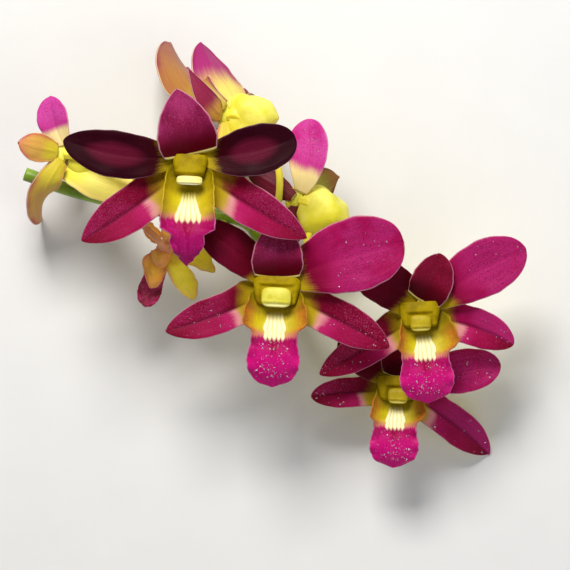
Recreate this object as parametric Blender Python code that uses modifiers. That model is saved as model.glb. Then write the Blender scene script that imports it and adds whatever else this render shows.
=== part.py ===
# A cut spray of dendrobium orchid with eight blooms, lying on its back on a surface.
# X runs along the picture to the right, Y up the picture and Z towards the viewer, who looks straight down.
# All sizes in the tables are millimetres, and MM turns them into metres.

import math
from collections import namedtuple

import bmesh
import bpy
from mathutils import Matrix, Vector

MM = 0.001

# Thickness of the petals and sepals, and of the fleshier lip.
BLADE_THICK = 0.7
LIP_THICK = 0.8

# Facets across and along a petal or sepal, and along and across the lip.
BLADE_ACROSS, BLADE_ALONG = 4, 8
LIP_ACROSS, LIP_ALONG = 8, 12

# The middle of the spray's bounding box, which becomes the origin.
MIDDLE = (-3.7, 10.0)

# Where each piece leaves the top of the ovary, in the bloom's own frame: x right, y up, z the way it faces.
BASES = {
    "dorsal": Vector((0, 3.2, 2.2)),
    "petal_left": Vector((-3.45, 1.9, 0.5)),
    "petal_right": Vector((3.45, 1.9, 0.5)),
    "lateral_left": Vector((-2.8, -4.6, -1.6)),
    "lateral_right": Vector((2.8, -4.6, -1.6)),
}

# The gap between the top of the ovary and the foot of the column.
OVARY_GAP = 0.5

# One petal or sepal. The tip is measured from the bloom's centre along the picture's axes, and bend moves the
# middle of its centreline off the straight line, along the same axes. The blade is widest at wide_at of its
# length, neck is its base's share of that width, and a smaller point makes a rounder tip. Its edges rise by
# cup and fold times the half width. Looks is the way its front faces where that isn't the bloom's own way,
# and seat scales how far out its base sits.
Blade = namedtuple(
    "Blade",
    "tip width bend wide_at neck point cup fold looks seat",
    defaults=((0, 0, 0), 0.5, 0.35, 0.6, 0.12, 0.06, None, 1),
)

# The lip's half width along it, in shares of the lip's width, for a rounded and for a pointed tongue.
ROUND_LIP = ((0, 0.34), (0.2, 0.42), (0.42, 0.44), (0.52, 0.4), (0.7, 0.5), (0.86, 0.43), (1, 0.1))
POINTED_LIP = (
    (0, 0.34), (0.2, 0.42), (0.45, 0.44), (0.6, 0.5), (0.68, 0.48), (0.76, 0.33), (0.9, 0.26), (1, 0.04),
)
# How far the lip's edges stand up along it, in millimetres.
LIP_WALL = ((0, 3.4), (0.15, 6.4), (0.38, 6.8), (0.52, 3.0), (0.68, 0.8), (1, -0.4))
# How far the side lobes reach back beside the column.
LOBE_BACK = 2.4
# The lip's centreline from its base, y down the bloom and z forwards.
LIP_LINE = ((-5.0, 0.3), (-9.5, 0.9), (-15.5, 2.6), (-21.5, 3.4), (-27.0, 2.4), (-31.5, -0.4))

# Rings of the column: y, z, half width, half depth. Then those of the anther cap at its end.
COLUMN_RINGS = ((0.2, -1.3, 2.3, 2.2), (0.0, 1.6, 2.9, 2.5), (-2.0, 4.4, 4.7, 2.6), (-4.8, 6.2, 5.0, 2.2))
CAP_MIDDLE = (0, -6.0, 6.9)
CAP_HALF = (3.3, 1.7, 1.4)

# Rings of the chin behind the lip: y, z, half width, half depth.
CHIN_RINGS = (
    (-7.6, -0.7, 4.6, 3.0), (-8.2, -4.0, 5.2, 3.6), (-9.8, -8.0, 3.8, 3.2), (-11.6, -11.2, 1.7, 1.6),
)

Bloom = namedtuple(
    "Bloom",
    "middle facing lip_way size chin lip_round lip_width lip_length"
    " dorsal petal_left petal_right lateral_left lateral_right",
)

TO_VIEWER = (0, 0, 1)

BLOOMS = {
    "a": Bloom(
        middle=(-29.1, 38.1, 50), facing=TO_VIEWER, lip_way=(-0.04, -1, 0),
        size=1, chin=1, lip_round=False, lip_width=17, lip_length=1.02,
        dorsal=Blade((-4.2, 21.5, 4.5), 18.5, (0, 0, 1.5), 0.2, 0.86, 0.75, 0.35, 0.05),
        petal_left=Blade((-38.8, 6.5, 4), 14.5, (0, -2.4, 1.5), 0.55, 0.5, 0.62, seat=1.08),
        petal_right=Blade((32.2, 7.2, 3), 15.6, (0, -1.6, 1.5), 0.6, 0.42, 0.45, 0.2),
        lateral_left=Blade((-33.5, -24.5, -1), 13.6, (0, -0.4, 0.5), 0.55, 0.5, 0.8, 0.1, 0.22),
        lateral_right=Blade((35.7, -23.6, -2), 12.6, (0, -0.3, 0.5), 0.5, 0.5, 0.8, 0.1, 0.25),
    ),
    "b": Bloom(
        middle=(-2.5, 0.6, 40), facing=TO_VIEWER, lip_way=(-0.05, -1, 0),
        size=1, chin=1, lip_round=True, lip_width=16.5, lip_length=1.02,
        dorsal=Blade((0.3, 18.3, 3.5), 16, (0, 0, 1), 0.25, 0.86, 0.6, 0.3, seat=0.92),
        petal_left=Blade((-24.5, 18, 3), 12.5, (0.4, 0.5, 1), 0.55, 0.55, 0.55, seat=0.85),
        petal_right=Blade((39.2, 12.4, 4), 23, (-0.3, 1, 1.5), 0.62, 0.3, 0.45, seat=0.83),
        lateral_left=Blade((-34.4, -14.9, -1), 12, (0, -0.6, 0.5), 0.55, 0.5, 0.75, 0.1, 0.15),
        lateral_right=Blade((34.7, -19.8, -1.5), 12.4, (0.3, 0.5, 0.5), 0.55, 0.5, 0.75, 0.1, 0.15),
    ),
    "c": Bloom(
        middle=(43.1, -7.1, 31), facing=TO_VIEWER, lip_way=(0.05, -1, 0),
        size=0.97, chin=0.9, lip_round=True, lip_width=17, lip_length=0.93,
        dorsal=Blade((4.8, 16.8, 4), 13.2, (0.8, 0, 1), 0.35, 0.82, 0.6, 0.25),
        petal_left=Blade((-22.3, 14.3, 3), 14.5, (0.3, 0.4, 1), 0.55, 0.5, 0.55),
        petal_right=Blade((31.9, 18, 3.5), 17.5, (-0.7, 1.3, 1.5), 0.6, 0.36, 0.55),
        lateral_left=Blade((-32.2, -20.8, -3), 11, (0, 0, 0.5), 0.55, 0.5, 0.75, 0.1, 0.15),
        lateral_right=Blade((28.2, -11.5, -2), 12, (0.3, 1.6, 0.5), 0.55, 0.5, 0.6, 0.1, 0.15),
    ),
    "d": Bloom(
        middle=(35.0, -30.4, 20), facing=TO_VIEWER, lip_way=(-0.04, -1, 0),
        size=0.9, chin=0.8, lip_round=True, lip_width=15.5, lip_length=0.84,
        dorsal=Blade((0.9, 14.5, 2), 10.5, (0, 0, 0.5), 0.35, 0.8, 0.6, 0.2),
        petal_left=Blade((-18, 13, 2), 11, (0, 0, 0.5), 0.55, 0.5, 0.55),
        petal_right=Blade((32.5, 5.6, 3), 13.8, (0, -0.5, 1), 0.62, 0.4, 0.5),
        lateral_left=Blade((-26.7, -4.7, -3), 9.5, (0, 0.6, 0.5), 0.55, 0.5, 0.6, 0.1, 0.15),
        lateral_right=Blade((28.8, -22.3, -20.4), 10, (0.4, 0.6, 3), 0.6, 0.5, 0.8, 0.1, 0.2),
    ),
    "e": Bloom(
        middle=(-17.7, 53.0, 34), facing=(-0.93, 0.1, -0.3), lip_way=(0.25, 0.1, -1),
        size=0.8, chin=1.5, lip_round=True, lip_width=14.5, lip_length=0.8,
        dorsal=Blade((-12.5, 14.5, 8), 9, (1.5, -3, 2.5), 0.4, 0.4, 0.7, looks=(-0.4, 0, -0.9), seat=1.1),
        petal_left=Blade(
            (-20.2, 24, -34.2), 11, (-5, -3.8, 10), 0.62, 0.25, 0.6, looks=(-0.3, 0.2, -0.9), seat=1.3
        ),
        petal_right=Blade((4, -18, 3), 14, (0.5, 0, 1), 0.5, 0.25, looks=(-0.4, 0, -0.9)),
        lateral_left=Blade(
            (-8.6, 23, -12), 12.5, (4.2, 0, 0), 0.5, 0.2, 0.6, looks=(-0.65, 0, -0.75), seat=1.25
        ),
        lateral_right=Blade((8.4, 6.4, -20), 9, (2, 0, 0), 0.5, 0.5, 0.7, looks=(-0.6, 0, -0.8), seat=1.15),
    ),
    "f": Bloom(
        middle=(4.7, 26.4, 29), facing=(-0.85, 0.35, -0.35), lip_way=(0.1, -0.15, -1),
        size=0.9, chin=1.35, lip_round=True, lip_width=15, lip_length=0.75,
        dorsal=Blade((-16.7, 10.2, -6), 8, (0, 0, -1), 0.5, 0.4, 0.7, looks=(0, 0, -1)),
        petal_left=Blade((1.5, 25.1, 4), 11.6, (0.8, 0, 2), 0.6, 0.45, 0.5, looks=(-0.4, 0, 0.9)),
        petal_right=Blade((-4, -15, 1), 9, (0, 0, 0), 0.55, 0.35, looks=(-0.4, 0, -0.9)),
        lateral_left=Blade((12.2, 6.2, -10), 9, (0, 1, 0), 0.6, 0.5, 0.8, looks=(-0.3, 0, -0.9), seat=0.95),
        lateral_right=Blade((16, -14, -14), 10, (1, 1, 3), 0.5, 0.8, 0.8, looks=(-0.4, 0.2, -0.9)),
    ),
    "g": Bloom(
        middle=(-68.5, 41.0, 33), facing=(-0.95, 0.1, -0.25), lip_way=(0, -0.05, -1),
        size=0.9, chin=1.35, lip_round=True, lip_width=14.5, lip_length=0.8,
        dorsal=Blade((-14, 3, 9), 9, (0, 0, 1), 0.5, 0.6, 0.7, looks=(-0.3, 0, -0.95), seat=1.1),
        petal_left=Blade((-4.3, 17.5, 2), 10.5, (-1, 0, 1), 0.55, 0.45, 0.55, looks=(-0.4, 0, 0.9)),
        petal_right=Blade((-9, -20, -33.2), 10.5, (-2.3, -2, 12.3), 0.6, 0.35, looks=(-0.4, 0, -0.9)),
        lateral_left=Blade((16.7, -1.5, -6), 9.5, (0, 0.5, 0), 0.5, 0.7, 0.7, looks=(-0.2, 0, -0.95)),
        lateral_right=Blade((22.3, -10.7, -1), 11, (0, -1, 1), 0.45, 0.8, 0.7, looks=(-0.1, -0.2, -0.95)),
    ),
    "h": Bloom(
        middle=(-37.8, 11.8, 26), facing=(-0.05, 0.1, -1), lip_way=(-0.22, -0.95, 0.1),
        size=0.5, chin=1.2, lip_round=True, lip_width=9.5, lip_length=0.6,
        dorsal=Blade((4, 9, -4), 5, (0, 0, 0), 0.5, 0.4, 0.7),
        petal_left=Blade((15.5, -8, -3), 6.5, (1, 1.5, 0), 0.5, 0.3),
        petal_right=Blade((-5.5, 8, -3), 4.5, (-0.5, 0, 0), 0.55, 0.3),
        lateral_left=Blade((8.4, -16.4, 1), 6.8, (1.5, 0, 1), 0.5, 0.5, 0.5, 0.2, seat=1.2),
        lateral_right=Blade((-2.5, -12.5, 1), 6, (-1, 0, 1), 0.5, 0.5, 0.5, 0.2, seat=1.2),
    ),
}

# The stem's route and radius from its cut end on the left to its tip, then each bloom's stalk from the stem
# to the back of the bloom.
STEM_ROUTE = (
    ((-81.5, 34.8, 22), 2.1), ((-64.8, 29.0, 23), 2.0), ((-41.9, 24.0, 25), 2.0), ((-15.5, 20.8, 26), 1.9),
    ((-6.5, 13.5, 25), 1.8), ((4.0, 3.5, 22), 1.6), ((11.0, -6.5, 19), 1.5), ((20.5, -13.5, 15), 1.4),
    ((32.5, -19.6, 11), 1.3), ((38.8, -25.1, 8.5), 0.9),
)
STALKS = {
    "a": ((-40.0, 24.2, 25), (-37.0, 30.0, 33), (-31.0, 36.0, 42)),
    "b": ((-19.5, 21.0, 26), (-18.3, 16.4, 29), (-14.0, 11.8, 31.5), (-8.5, 7.0, 33), (-4.0, 2.8, 34)),
    "c": ((22.0, -14.0, 15), (30.0, -14.0, 18), (34.5, -7.0, 20), (38.0, -3.5, 22.5), (42.4, -5.5, 25)),
    "d": ((32.5, -19.6, 11), (33.0, -25.0, 12), (34.6, -29.0, 14)),
    "e": ((-9.0, 15.8, 25), (-4.0, 20.5, 28), (-2.0, 26.5, 31), (-2.0, 36.0, 34), (-5.0, 45.0, 37)),
    "f": ((4.0, 3.5, 22), (5.8, 9.5, 25), (7.2, 15.0, 29), (8.8, 20.5, 32.5)),
    "g": ((-44.0, 24.5, 25), (-43.0, 28.0, 32), (-46.0, 33.0, 37.5), (-54.0, 37.5, 38)),
    "h": ((-48.0, 25.2, 25), (-44.4, 19.0, 29), (-40.0, 14.5, 32)),
}
STALK_RADIUS = 1.1
OVARY_RADIUS = 1.8
OVARY_LONG = 3.6

COLOURS = {
    "dark": (0.16, 0.006, 0.04),
    "magenta": (0.42, 0.008, 0.14),
    "yellow": (0.72, 0.55, 0.06),
    "orange": (0.55, 0.27, 0.08),
    "lip": (0.5, 0.0, 0.2),
    "column": (0.6, 0.48, 0.08),
    "green": (0.14, 0.28, 0.03),
}


def clear_scene():
    for obj in list(bpy.data.objects):
        bpy.data.objects.remove(obj, do_unlink=True)


def new_collection(name):
    collection = bpy.data.collections.new(name)
    bpy.context.scene.collection.children.link(collection)
    return collection


def material(name, colour):
    made = bpy.data.materials.new(name)
    made.use_nodes = True
    shader = made.node_tree.nodes["Principled BSDF"]
    shader.inputs["Base Color"].default_value = (*colour, 1)
    shader.inputs["Roughness"].default_value = 0.5
    return made


def smooth(t):
    t = min(max(t, 0.0), 1.0)
    return t * t * (3 - 2 * t)


def along_stations(stations, v):
    """The value at v between stations of (place, value), eased from one to the next."""
    for (v0, a), (v1, b) in zip(stations, stations[1:]):
        if v <= v1:
            return a + (b - a) * smooth((v - v0) / (v1 - v0))
    return stations[-1][1]


def spline_point(points, t):
    """A point at t from 0 to 1 on the smooth curve through the points."""
    count = len(points) - 1
    i = min(int(t * count), count - 1)
    s = t * count - i
    p1, p2 = points[i], points[i + 1]
    p0 = points[i - 1] if i else p1 * 2 - p2
    p3 = points[i + 2] if i + 2 <= count else p2 * 2 - p1
    straight = p1 * 2 + (p2 - p0) * s
    bent = (p0 * 2 - p1 * 5 + p2 * 4 - p3) * s**2 + (p1 * 3 - p0 - p2 * 3 + p3) * s**3
    return (straight + bent) / 2


def bloom_frame(bloom):
    """The turn from a bloom's own frame, x right, y up and z forwards, to the picture's axes."""
    forward = Vector(bloom.facing).normalized()
    down = Vector(bloom.lip_way)
    up = -(down - forward * down.dot(forward)).normalized()
    right = up.cross(forward)
    return Matrix((right, up, forward)).transposed()


def add_object(name, mesh, collection, parent=None, slot=None):
    obj = bpy.data.objects.new(name, mesh)
    collection.objects.link(obj)
    obj.parent = parent
    if slot:
        mesh.materials.append(slot)
    for polygon in mesh.polygons:
        polygon.use_smooth = True
    return obj


def sheet(name, formula, across, along, thick):
    """A grid bent by formula(u, v), u from -1 to 1 across and v from 0 to 1 along, then thickened evenly."""
    mesh = bpy.data.meshes.new(name)
    bm = bmesh.new()
    bmesh.ops.create_grid(bm, x_segments=across, y_segments=along, size=1)
    for vert in bm.verts:
        u, v = vert.co.x, (vert.co.y + 1) / 2
        vert.co = formula(u, v) * MM
    bm.to_mesh(mesh)
    bm.free()
    obj = bpy.data.objects.new(name, mesh)
    bpy.context.scene.collection.objects.link(obj)
    solid = obj.modifiers.new("Thickness", "SOLIDIFY")
    solid.thickness = thick * MM
    solid.offset = 0
    return obj


def rings(name, ring_list, sides):
    """A closed body through rings of (centre, half width along x, half depth along the given way)."""
    mesh = bpy.data.meshes.new(name)
    bm = bmesh.new()
    loops = []
    for centre, half_wide, half_deep, way in ring_list:
        loop = []
        for i in range(sides):
            angle = 2 * math.pi * i / sides
            place = centre + Vector((half_wide * math.cos(angle), 0, 0)) + way * half_deep * math.sin(angle)
            loop.append(bm.verts.new(place * MM))
        loops.append(loop)
    for first, second in zip(loops, loops[1:]):
        for i in range(sides):
            j = (i + 1) % sides
            bm.faces.new((first[i], first[j], second[j], second[i]))
    bm.faces.new(loops[0])
    bm.faces.new(loops[-1])
    bmesh.ops.recalc_face_normals(bm, faces=bm.faces)
    bm.to_mesh(mesh)
    bm.free()
    obj = bpy.data.objects.new(name, mesh)
    bpy.context.scene.collection.objects.link(obj)
    return obj


def ring_path(stations, size):
    """Rings along a path in the yz plane, each square to the path."""
    centres = [Vector((0, y, z)) * size for y, z, _, _ in stations]
    made = []
    for i, (_, _, wide, deep) in enumerate(stations):
        before, after = centres[max(i - 1, 0)], centres[min(i + 1, len(centres) - 1)]
        heading = (after - before).normalized()
        made.append((centres[i], wide * size, deep * size, Vector((1, 0, 0)).cross(heading)))
    return made


def finished_mesh(obj, others=()):
    """The object's mesh with its modifiers and a union with the others applied, all of them then removed."""
    for other in others:
        union = obj.modifiers.new("Union", "BOOLEAN")
        union.operation = "UNION"
        union.solver = "EXACT"
        union.object = other
    bpy.context.view_layer.update()
    graph = bpy.context.evaluated_depsgraph_get()
    mesh = bpy.data.meshes.new_from_object(obj.evaluated_get(graph))
    for used in (obj, *others):
        bpy.data.objects.remove(used, do_unlink=True)
    return mesh


def outline(blade, v):
    """The half width at v as a share of the widest."""
    if v < blade.wide_at:
        return blade.neck + (1 - blade.neck) * math.sin(math.pi / 2 * v / blade.wide_at)
    left = (v - blade.wide_at) / (1 - blade.wide_at)
    return max(1 - left**2, 0.0) ** blade.point * 0.95 + 0.05


def blade_formula(blade, base, turn, size):
    """The formula of a blade in the bloom's frame."""
    to_bloom = turn.transposed()
    start = base * size * blade.seat
    tip = to_bloom @ Vector(blade.tip)
    middle = (start + tip) / 2 + to_bloom @ Vector(blade.bend) * 2
    front = (to_bloom @ Vector(blade.looks)).normalized() if blade.looks else Vector((0, 0, 1))

    def place(u, v):
        v = 1 - (1 - v) ** 1.35
        centre = start * (1 - v) ** 2 + middle * 2 * v * (1 - v) + tip * v * v
        heading = ((middle - start) * (1 - v) + (tip - middle) * v).normalized()
        across = heading.cross(front).normalized()
        up = across.cross(heading)
        half = blade.width / 2 * outline(blade, v)
        return centre + across * u * half + up * half * (blade.cup * u * u + blade.fold * abs(u))

    return place


def blade_piece(name, blade, base, turn, size):
    return sheet(name, blade_formula(blade, base, turn, size), BLADE_ACROSS, BLADE_ALONG, BLADE_THICK)


def lip_piece(name, bloom):
    """A lip with upright side lobes about the column and a spreading tongue."""
    widths = ROUND_LIP if bloom.lip_round else POINTED_LIP
    base_y = LIP_LINE[0][0]
    line = []
    for y, z in LIP_LINE:
        line.append(Vector((0, base_y * bloom.size + (y - base_y) * bloom.lip_length, z * bloom.size)))

    def place(u, v):
        centre = spline_point(line, v)
        ahead = spline_point(line, min(v + 0.02, 1.0)) - spline_point(line, max(v - 0.02, 0.0))
        up = Vector((1, 0, 0)).cross(ahead.normalized())
        if up.z < 0:
            up = -up
        half = along_stations(widths, v) * bloom.lip_width
        wall = along_stations(LIP_WALL, v) * bloom.size
        steep = smooth(wall / 4)
        share = abs(u) * (1 - steep) + (1 - (1 - abs(u)) ** 1.5) * steep
        back = LOBE_BACK * bloom.size * u * u * (1 - smooth(v / 0.35))
        return centre + Vector((math.copysign(share * half, u), back, 0)) + up * wall * u * u

    return sheet(name, place, LIP_ACROSS, LIP_ALONG, LIP_THICK)


def column_piece(name, bloom):
    """The column, with the anther cap as its blunt front end."""
    body = rings(name, ring_path(COLUMN_RINGS, bloom.size), 10)
    bm = bmesh.new()
    bmesh.ops.create_uvsphere(bm, u_segments=10, v_segments=6, radius=1)
    for vert in bm.verts:
        for axis in range(3):
            vert.co[axis] = (CAP_MIDDLE[axis] + vert.co[axis] * CAP_HALF[axis]) * bloom.size * MM
    mesh = bpy.data.meshes.new(name + "_cap")
    bm.to_mesh(mesh)
    bm.free()
    cap = bpy.data.objects.new(name + "_cap", mesh)
    bpy.context.scene.collection.objects.link(cap)
    return finished_mesh(body, [cap])


def chin_piece(name, bloom):
    front = CHIN_RINGS[0][1]
    stations = []
    for y, z, wide, deep in CHIN_RINGS:
        stations.append((y, front + (z - front) * bloom.chin, wide * bloom.chin, deep))
    return rings(name, ring_path(stations, bloom.size), 10)


def tube(name, route):
    """A round tube through points of (place, radius)."""
    curve = bpy.data.curves.new(name, "CURVE")
    curve.dimensions = "3D"
    curve.bevel_depth = MM
    curve.bevel_resolution = 2
    curve.use_fill_caps = True
    spline = curve.splines.new("POLY")
    spline.points.add(len(route) - 1)
    for point, (place, radius) in zip(spline.points, route):
        point.co = (*(place * MM), 1)
        point.radius = radius
    obj = bpy.data.objects.new(name, curve)
    bpy.context.scene.collection.objects.link(obj)
    bpy.context.view_layer.update()
    mesh = bpy.data.meshes.new_from_object(obj.evaluated_get(bpy.context.evaluated_depsgraph_get()))
    bpy.data.objects.remove(obj, do_unlink=True)
    bm = bmesh.new()
    bm.from_mesh(mesh)
    bmesh.ops.remove_doubles(bm, verts=bm.verts, dist=1e-6)
    bmesh.ops.recalc_face_normals(bm, faces=bm.faces)
    bm.to_mesh(mesh)
    bm.free()
    made = bpy.data.objects.new(name, mesh)
    bpy.context.scene.collection.objects.link(made)
    return made


def stalk_route(letter, bloom):
    """The stalk from the stem to the bloom, thickening to the ovary at its end."""
    turn = bloom_frame(bloom)
    middle = Vector(bloom.middle)
    foot = COLUMN_RINGS[0][1] * bloom.size - OVARY_GAP
    top = middle + turn @ Vector((0, 0, foot))
    below = middle + turn @ Vector((0, 0, foot - OVARY_LONG))
    points = [Vector(p) for p in STALKS[letter]] + [below, top]
    steps = 3 * len(points)
    route = []
    for i in range(steps + 1):
        t = i / steps
        swell = smooth((t - 0.55) / 0.35)
        route.append((spline_point(points, t), STALK_RADIUS + (OVARY_RADIUS - STALK_RADIUS) * swell))
    return route


def stem_mesh():
    places = [Vector(place) for place, _ in STEM_ROUTE]
    steps = 3 * (len(places) - 1)
    radii = [(i / (len(STEM_ROUTE) - 1), radius) for i, (_, radius) in enumerate(STEM_ROUTE)]
    route = [(spline_point(places, i / steps), along_stations(radii, i / steps)) for i in range(steps + 1)]
    stem = tube("stem", route)
    stalks = [tube("stalk_" + letter, stalk_route(letter, bloom)) for letter, bloom in BLOOMS.items()]
    return finished_mesh(stem, stalks)


def build_bloom(letter, bloom, collection, root, slots):
    turn = bloom_frame(bloom)
    holder = bpy.data.objects.new("bloom_" + letter, None)
    collection.objects.link(holder)
    holder.parent = root
    holder.location = Vector(bloom.middle) * MM
    holder.rotation_euler = turn.to_euler()
    prefix = f"bloom_{letter}_"

    def add(part, mesh, slot):
        add_object(prefix + part, mesh, collection, holder, slots[slot])

    def blade(part):
        return blade_piece(part, getattr(bloom, part), BASES[part], turn, bloom.size)

    front = "dark" if letter == "a" else "magenta"
    if letter == "h":
        front = "orange"
    add("dorsal_sepal", finished_mesh(blade("dorsal")), front)
    add("petal_left", finished_mesh(blade("petal_left")), front)
    add("petal_right", finished_mesh(blade("petal_right")), front)
    chin_side = [blade("lateral_right"), chin_piece("chin", bloom)]
    add("lateral_sepals", finished_mesh(blade("lateral_left"), chin_side), front)
    add("lip", finished_mesh(lip_piece("lip", bloom)), "lip")
    add("column", column_piece("column", bloom), "column")


def flatten_feet(names, cutters):
    """Cuts the tips that touch the surface flat at its height."""
    bm = bmesh.new()
    bmesh.ops.create_cube(bm, size=1)
    mesh = bpy.data.meshes.new("surface")
    bm.to_mesh(mesh)
    bm.free()
    slab = bpy.data.objects.new("surface", mesh)
    cutters.objects.link(slab)
    slab.scale = (0.4, 0.4, 0.02)
    slab.location = (0, 0, -0.01)
    slab.hide_render = True
    slab.display_type = "WIRE"
    for name in names:
        cut = bpy.data.objects[name].modifiers.new("Flat foot", "BOOLEAN")
        cut.operation = "DIFFERENCE"
        cut.solver = "EXACT"
        cut.object = slab


def main():
    clear_scene()
    collection = new_collection("dendrobium_orchid")
    cutters = new_collection("cutters")
    root = bpy.data.objects.new("spray", None)
    collection.objects.link(root)
    root.location = (-MIDDLE[0] * MM, -MIDDLE[1] * MM, 0)
    slots = {name: material(name, colour) for name, colour in COLOURS.items()}
    add_object("flower_stem", stem_mesh(), collection, root, slots["green"])
    for letter, bloom in BLOOMS.items():
        build_bloom(letter, bloom, collection, root, slots)
    flatten_feet(("bloom_d_lateral_sepals", "bloom_e_petal_left", "bloom_g_petal_right"), cutters)


main()
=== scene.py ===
"""A cut spray of dendrobium orchid on a pale surface, seen from straight above."""
import math
import random
from collections import namedtuple
from functools import cache

import bmesh
import bpy
from mathutils import Matrix, Vector, noise


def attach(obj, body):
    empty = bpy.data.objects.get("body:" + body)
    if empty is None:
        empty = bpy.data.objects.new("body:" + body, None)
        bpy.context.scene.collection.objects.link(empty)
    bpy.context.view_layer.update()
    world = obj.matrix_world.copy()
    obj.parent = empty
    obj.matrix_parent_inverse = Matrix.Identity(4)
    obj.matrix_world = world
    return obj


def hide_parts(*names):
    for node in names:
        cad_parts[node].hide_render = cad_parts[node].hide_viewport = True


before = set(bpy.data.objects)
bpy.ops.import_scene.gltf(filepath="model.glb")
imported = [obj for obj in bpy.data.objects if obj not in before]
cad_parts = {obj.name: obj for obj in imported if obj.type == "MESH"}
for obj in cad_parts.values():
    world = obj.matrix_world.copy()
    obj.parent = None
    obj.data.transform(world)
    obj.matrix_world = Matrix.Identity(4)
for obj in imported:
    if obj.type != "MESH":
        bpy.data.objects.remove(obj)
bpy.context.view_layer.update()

MM = 0.001
# The seed of the noise that ripples the hoods and chins and crumples the wilted bloom.
NOISE_SEED = 5
# The middle of the spray on the picture, in millimetres, which is the shared frame's origin.
MIDDLE = Vector((-3.7, 10, 0))

# Thickness of a petal at its middle and at its margin, in millimetres.
BLADE_THICK, BLADE_EDGE = 0.7, 0.38
LIP_THICK, LIP_EDGE = 0.8, 0.4
# How many faces a petal and a lip have across and along.
BLADE_ACROSS, BLADE_ALONG = 26, 52
LIP_ACROSS, LIP_ALONG = 72, 90

# Where each piece leaves the top of the ovary, in the bloom's own frame: x right, y up, z the way it faces.
BASES = {
    "dorsal": Vector((0, 3.2, 2.2)),
    "petal_left": Vector((-3.45, 1.9, 0.5)),
    "petal_right": Vector((3.45, 1.9, 0.5)),
    "lateral_left": Vector((-2.8, -4.6, -1.6)),
    "lateral_right": Vector((2.8, -4.6, -1.6)),
}
# The share of that distance at which the blades start, tucked under the column, how much wider the side
# sepals are there on their upper and lower sides, and how rounded the upper sepal's foot is.
FOOT_IN = 0.78
FLARE_UP, FLARE_DOWN, NO_FLARE = 2.6, 1, (0, 0)
DORSAL_FOOT = 1.4

# One petal or sepal. The tip is measured from the bloom's centre along the picture's axes, and bend moves the
# middle of its centreline. The blade is widest at wide_at, neck is its base's share of that width, and a
# smaller point makes a rounder tip. Its edges rise by cup and fold times the half width, looks is the way its
# front faces where that isn't the bloom's own way, and seat scales how far out its base sits. Look and back
# name the colouring of its two sides, and crumple is how far it is shrivelled, in millimetres.
Blade = namedtuple(
    "Blade",
    "tip width bend wide_at neck point cup fold looks seat look back crumple",
    defaults=((0, 0, 0), 0.5, 0.35, 0.6, 0.12, 0.06, None, 1, "crimson", "lemon", 0),
)

# Small relief on a blade, in millimetres: its midrib's groove, the slow swells of its face, the ripple of its
# margins and how far they roll under. A ripple is this long, and the groove's half width is a share of the
# blade's.
RIB_DEPTH, FACE_SWELL, MARGIN_RIPPLE, MARGIN_ROLL = 0.25, 0.22, 0.28, 0.35
RIPPLE_LONG = 11
RIB_WIDE = 0.1

# The lip's half width along it, in shares of the lip's width. A rounded tongue ends in half an ellipse.
ROUND_LIP = (
    (0, 0.36), (0.12, 0.5), (0.25, 0.58), (0.325, 0.6), (0.355, 0.57), (0.4, 0.43), (0.45, 0.43), (0.66, 0.5),
)
ROUND_FROM = 0.66
POINTED_LIP = (
    (0, 0.3), (0.12, 0.42), (0.25, 0.45), (0.42, 0.47), (0.5, 0.5), (0.57, 0.49), (0.595, 0.4), (0.63, 0.3),
    (0.71, 0.32), (0.82, 0.24), (0.91, 0.13), (1, 0.02),
)
# How far the lip's edges stand up along it.
ROUND_WALL = ((0, 0.8), (0.18, 4.6), (0.34, 5.8), (0.44, 2.6), (0.55, 0.5), (1, -0.4))
POINTED_WALL = ((0, 0.8), (0.18, 4.8), (0.38, 6.2), (0.5, 4), (0.64, 1.4), (0.75, 0.4), (1, -0.4))
# How far the side lobes' edges reach back beside the column, and the lip's middle line as y and z.
LOBE_BACK = 4.4
LIP_LINE = ((-5, 0.3), (-9.5, 0.9), (-15.5, 2.6), (-21.5, 3.4), (-27, 2.4), (-31.5, -0.4))
# The ridged fan on the lip runs between these places along it, its half width growing from one share of the
# lip's to the other, and the ridges are as many as this.
FAN_ALONG = (0.14, 0.44)
FAN_WIDE = (0.16, 0.38)
RIDGES = 5
# Small relief on a lip, in millimetres: the floor and height of the fan's ridges, the ripples of the tongue
# and of the side lobes, the groove down the tongue and how far it bulges.
KEEL_FLOOR, KEEL_RISE, TONGUE_RIPPLE, LOBE_RIPPLE = 0.2, 0.2, 0.35, 0.3
TONGUE_GROOVE, TONGUE_BULGE = 0.4, 0.6

# Rings of the column's hood and of the chin behind the lip: y, z, half width, half depth.
COLUMN_RINGS = (
    (1.7, 1.9, 4.9, 2.3), (0.4, 2.1, 5.4, 2.5), (-1.6, 2.5, 5.2, 2.6), (-3.6, 2.9, 4.7, 2.6),
    (-5.6, 3.2, 4.2, 2.5),
)
CHIN_RINGS = (
    (-7.6, -0.7, 4.6, 3), (-8.2, -4, 5.2, 3.6), (-9.8, -8, 3.8, 3.2), (-11.6, -11.2, 1.7, 1.6),
)
# How deep the recess for the anther cap is and how far it runs out round it, and the z of the ovary's top.
CAP_RECESS, RECESS_EDGE = 1, 1.3
OVARY_TOP = -0.2

# One bloom: its middle, the ways its face and its lip point, and its size, with the chin scaled further. The
# anther cap is given by its middle, its half sizes and its colour. Hood and lobes scale the widths of the
# column and of the lip's side lobes, and lean moves the column sideways. Swell is how far the chin grows
# round the ovary, drops is how many water drops the bloom has, and skew is how much wider its right lobe is.
Bloom = namedtuple(
    "Bloom",
    "middle facing lip_way size chin lip_round lip_width lip_length cap cap_half cap_paint hood lobes lean"
    " swell drops skew dorsal petal_left petal_right lateral_left lateral_right",
)
TO_VIEWER, ASLANT, AWAY = (0, 0, 1), (-0.4, 0, 0.9), (-0.4, 0, -0.9)
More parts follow.
